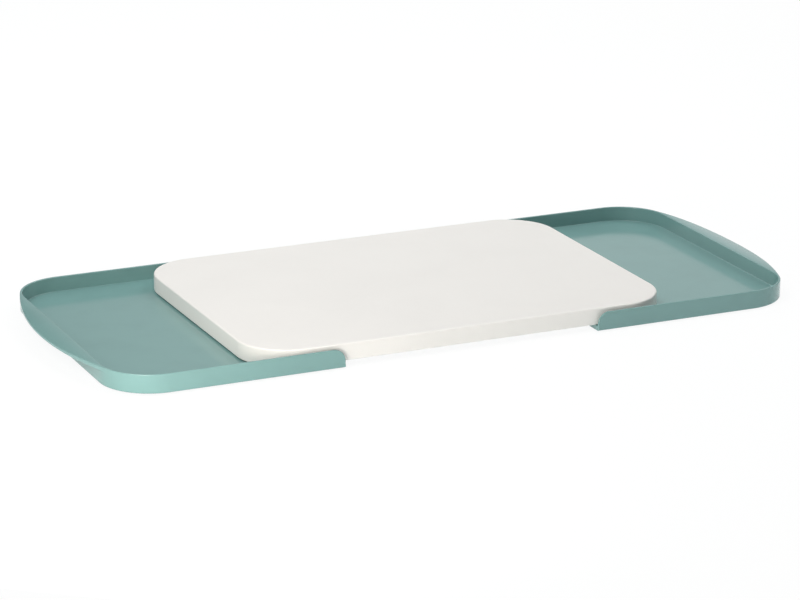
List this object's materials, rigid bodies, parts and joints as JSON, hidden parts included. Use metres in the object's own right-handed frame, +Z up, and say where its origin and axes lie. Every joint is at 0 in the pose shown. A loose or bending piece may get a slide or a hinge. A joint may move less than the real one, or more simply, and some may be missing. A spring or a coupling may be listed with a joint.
{
  "type": "cutting board with drawer trays",
  "caption": "Flat cutting board that rests on shallow lipped trays, which slide out from under its ends to catch and hold chopped food.",
  "frame": {"origin": "middle of the footprint, on the surface that the trays' feet stand on, with both trays drawn fully out", "axes": "+X along the board towards the right tray, +Y across the board towards the back, +Z up"},
  "size_m": [0.6276, 0.27, 0.0193],
  "materials": {
    "board_plastic": "fine matt moulded white plastic",
    "tray_plastic": "satin sage-teal moulded plastic",
    "glide_plastic": "smooth white glide plastic",
    "foot_rubber": "matt grey-green rubber"
  },
  "bodies": {
    "board": {"cutting_board": "board_plastic", "glide_pad_left_front": "glide_plastic", "glide_pad_left_back": "glide_plastic", "glide_pad_right_front": "glide_plastic", "glide_pad_right_back": "glide_plastic"},
    "left_tray": {"left_tray": "tray_plastic", "left_tray_foot_inner_front": "foot_rubber", "left_tray_foot_inner_back": "foot_rubber", "left_tray_foot_outer_front": "foot_rubber", "left_tray_foot_outer_back": "foot_rubber"},
    "right_tray": {"right_tray": "tray_plastic", "right_tray_foot_inner_front": "foot_rubber", "right_tray_foot_inner_back": "foot_rubber", "right_tray_foot_outer_front": "foot_rubber", "right_tray_foot_outer_back": "foot_rubber"}
  },
  "joints": [
    {"name": "left_tray_slide", "type": "slide", "parent": "board", "child": "left_tray", "axis": [1, 0, 0], "range_m": [0, 0.11]},
    {"name": "right_tray_slide", "type": "slide", "parent": "board", "child": "right_tray", "axis": [-1, 0, 0], "range_m": [0, 0.11]}
  ]
}
